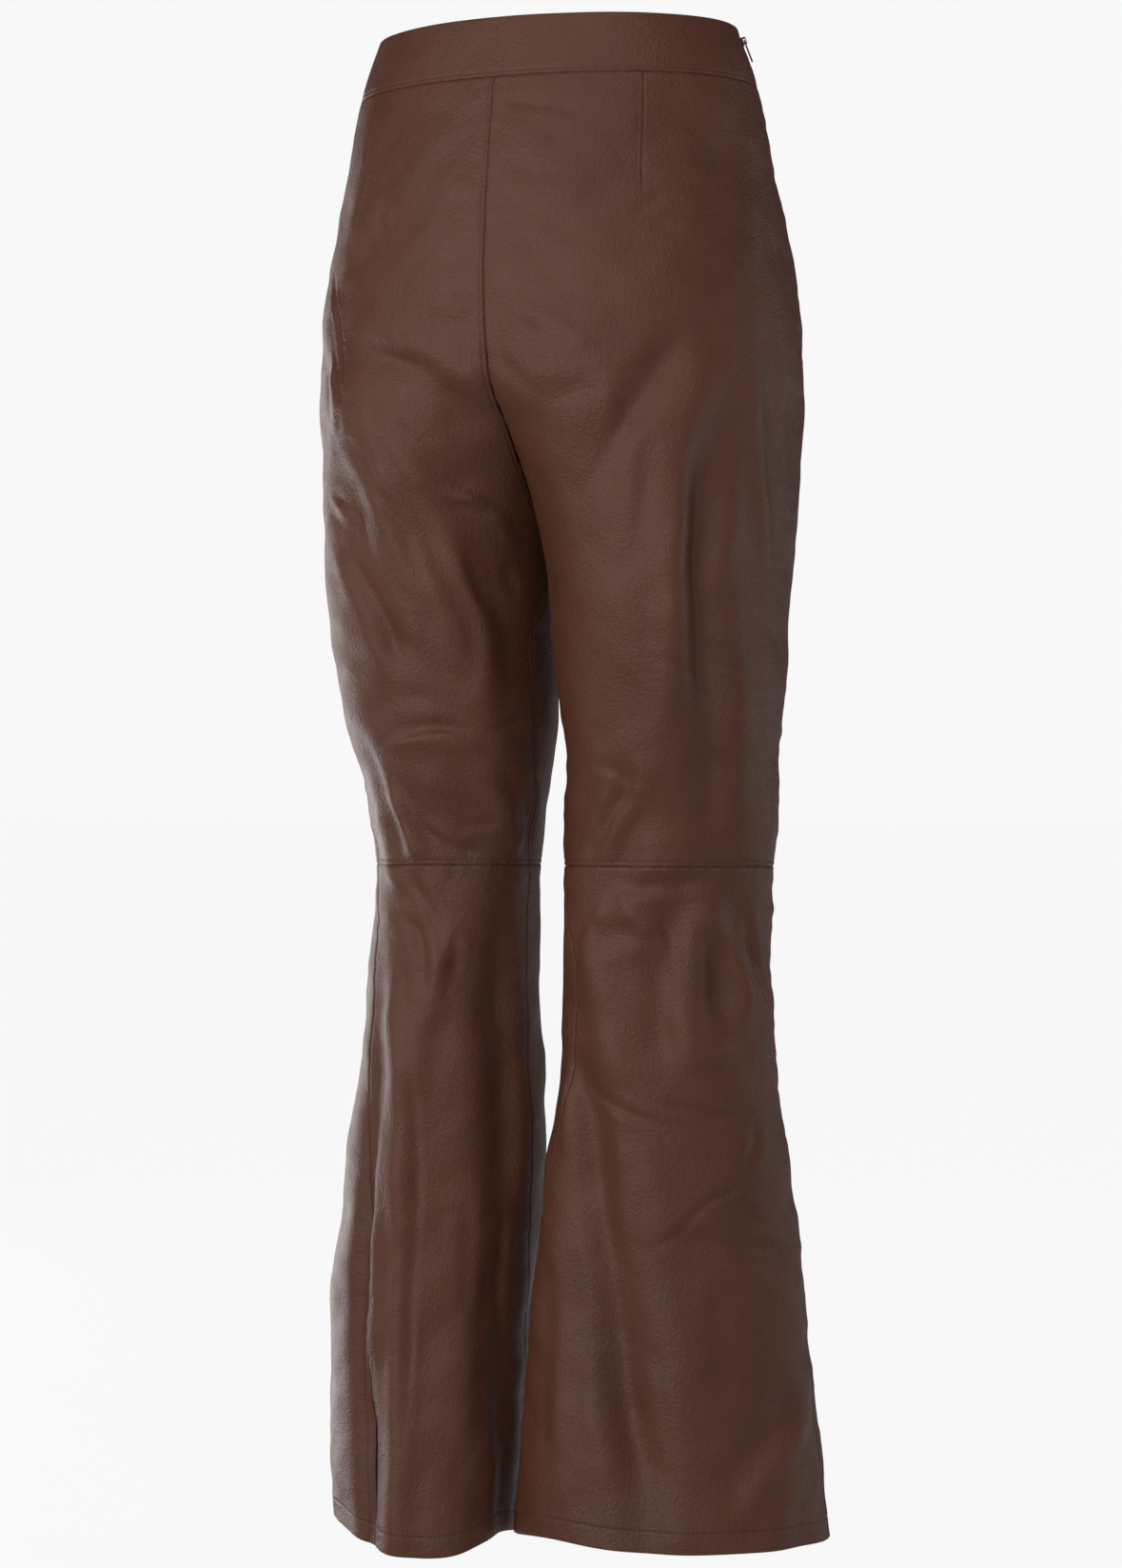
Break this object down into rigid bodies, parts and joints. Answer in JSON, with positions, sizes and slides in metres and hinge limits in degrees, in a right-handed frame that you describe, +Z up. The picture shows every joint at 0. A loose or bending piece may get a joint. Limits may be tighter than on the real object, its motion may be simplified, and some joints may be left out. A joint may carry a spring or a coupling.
{
  "type": "high-waisted flared leather trousers",
  "caption": "High-waisted leather trousers, filled out as if worn, with a plain waistband, darts, knee seams, flared legs and side slits at the hem, and a concealed side zip.",
  "frame": {"origin": "the middle of the waistband's ring at half its height, where the wearer's waist holds the garment up", "axes": "+Z up along the garment's length, -Y towards its front, +X towards the wearer's left"},
  "size_m": [0.3886, 0.2478, 1.067],
  "materials": {
    "leather": "smooth brown leather with a fine grain and a soft sheen",
    "zip_tape": "woven polyester tape with nylon teeth",
    "zip_metal": "brown enamelled zinc",
    "thread": "twisted polyester sewing thread"
  },
  "bodies": {
    "trousers": {"waistband_front": "leather", "waistband_back": "leather", "front_left_upper": "leather", "front_right_upper": "leather", "back_left_upper": "leather", "back_right_upper": "leather", "front_left_lower": "leather", "front_right_lower": "leather", "back_left_lower": "leather", "back_right_lower": "leather", "zip_tape": "zip_tape", "zip_slider": "zip_metal"},
    "pull_tab": {"zip_pull_tab": "zip_metal"}
  },
  "joints": [
    {"name": "pull_tab_hinge", "type": "hinge", "parent": "trousers", "child": "pull_tab", "pos_m": [0.13293, 0.02695, 0.01237], "axis": [0.3539, -0.9326, 0.0706], "range_deg": [0, 150]}
  ]
}
